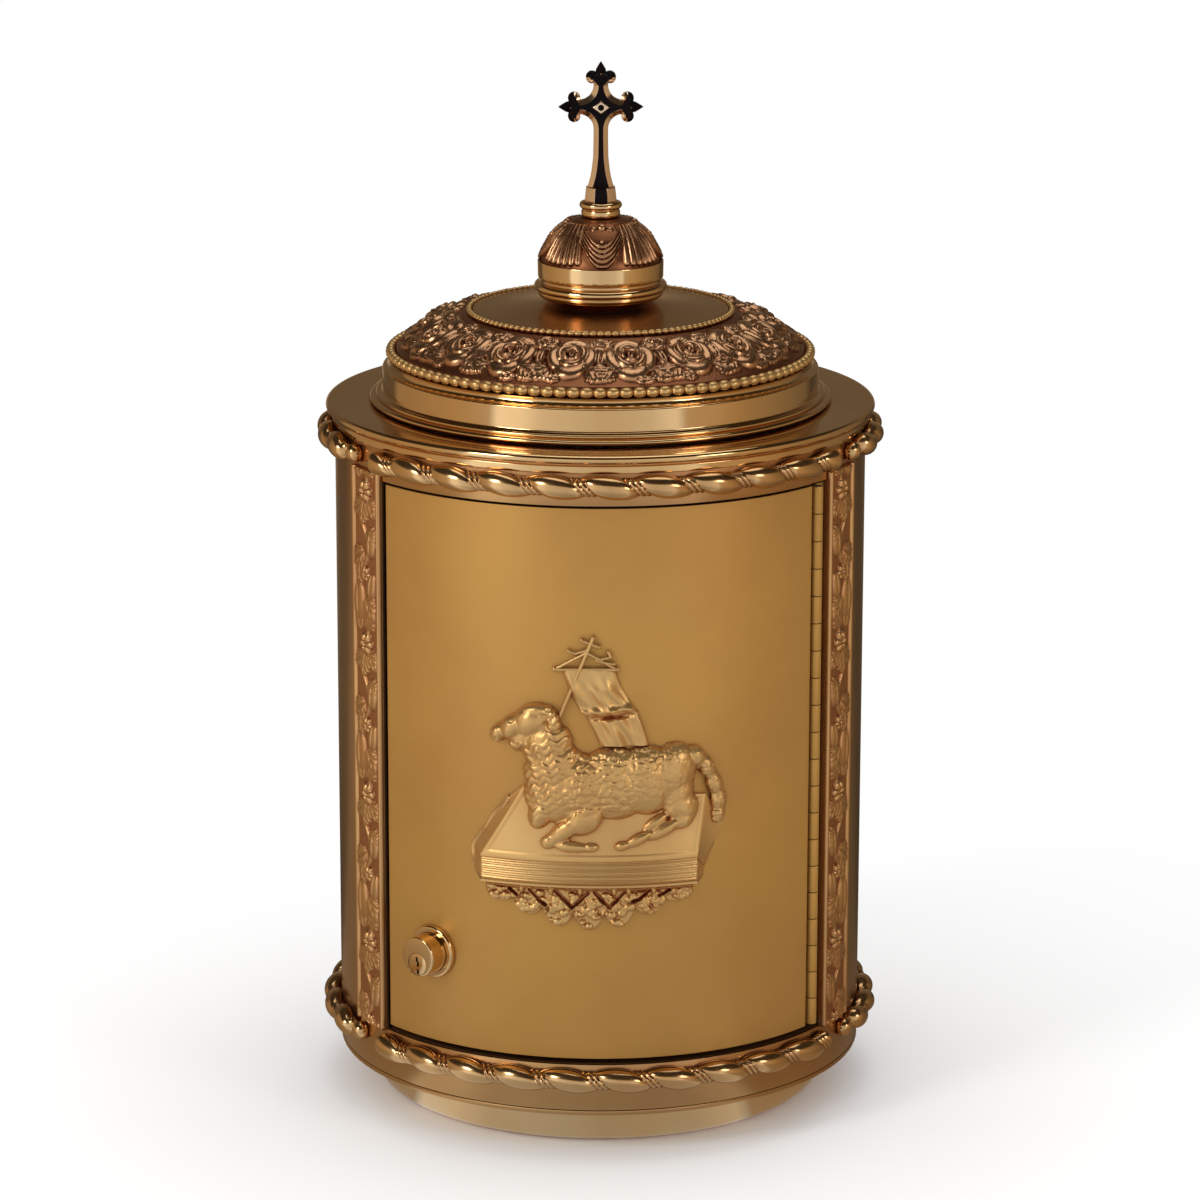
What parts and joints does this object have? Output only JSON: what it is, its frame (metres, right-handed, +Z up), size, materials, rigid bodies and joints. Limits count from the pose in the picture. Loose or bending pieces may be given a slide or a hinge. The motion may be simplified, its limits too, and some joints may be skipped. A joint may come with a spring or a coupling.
{
  "type": "altar tabernacle",
  "caption": "Round gilt-brass altar tabernacle with a curved, hinged and lockable door, a lamb relief, rope mouldings, a domed lid with a rose band and a cross on a knop.",
  "frame": {"origin": "centre of the foot ring's underside, where it stands on the altar", "axes": "+Z up along the cabinet's axis, -Y out of the middle of the door, +X to the right of someone who faces the door"},
  "size_m": [0.3214, 0.3213, 0.5905],
  "materials": {
    "polished_gilt": "polished and gilt",
    "satin_gilt": "satin gilt",
    "relief_gilt": "cast and gilt, patina in the recesses",
    "dark_brass": "plain",
    "steel": "plain"
  },
  "bodies": {
    "cabinet": {"foot_ring": "polished_gilt", "base_plate": "satin_gilt", "foot_bolt_1": "steel", "foot_bolt_2": "steel", "foot_bolt_3": "steel", "body_shell": "satin_gilt", "floor_plate": "satin_gilt", "ceiling_plate": "satin_gilt", "bottom_front_rope": "polished_gilt", "bottom_back_rope": "polished_gilt", "top_front_rope": "polished_gilt", "top_back_rope": "polished_gilt", "bottom_left_boss": "polished_gilt", "bottom_right_boss": "polished_gilt", "top_left_boss": "polished_gilt", "top_right_boss": "polished_gilt", "left_floral_strip": "relief_gilt", "right_floral_strip": "relief_gilt", "hinge_leaf_frame": "satin_gilt", "hinge_pin": "steel", "hinge_rivet_1": "dark_brass", "hinge_rivet_2": "dark_brass", "lock_keeper": "dark_brass", "keeper_screw_1": "dark_brass", "keeper_screw_2": "dark_brass", "cornice": "polished_gilt", "drum": "polished_gilt", "drum_screw_1": "dark_brass", "drum_screw_2": "dark_brass", "drum_screw_3": "dark_brass", "outer_bead_ring": "relief_gilt", "inner_bead_ring": "relief_gilt", "rose_band": "relief_gilt", "dome_cap": "polished_gilt", "knop_base": "polished_gilt", "leaf_dome": "relief_gilt", "finial_collar": "polished_gilt", "cross": "polished_gilt", "finial_stud": "steel", "stud_washer": "steel", "stud_nut": "steel"},
    "door": {"door_panel": "satin_gilt", "door_stiffener_bottom": "satin_gilt", "door_stiffener_top": "satin_gilt", "hinge_leaf_door": "satin_gilt", "lock_flange": "polished_gilt", "lock_housing": "polished_gilt", "lock_nut": "dark_brass", "book_slab": "relief_gilt", "cloud_fringe": "relief_gilt", "lamb": "relief_gilt", "relief_nut_1": "dark_brass", "relief_nut_2": "dark_brass", "staff_and_banner": "relief_gilt"},
    "lock": {"lock_plug": "polished_gilt", "lock_cam": "steel", "cam_screw": "steel"}
  },
  "joints": [
    {"name": "door_hinge", "type": "hinge", "parent": "cabinet", "child": "door", "pos_m": [0.1169, -0.09399, 0.214], "axis": [0, 0, 1], "range_deg": [0, 120]},
    {"name": "lock_turn", "type": "hinge", "parent": "door", "child": "lock", "pos_m": [-0.09541, -0.11574, 0.1058], "axis": [-0.6361, -0.7716, 0], "range_deg": [0, 90]}
  ]
}
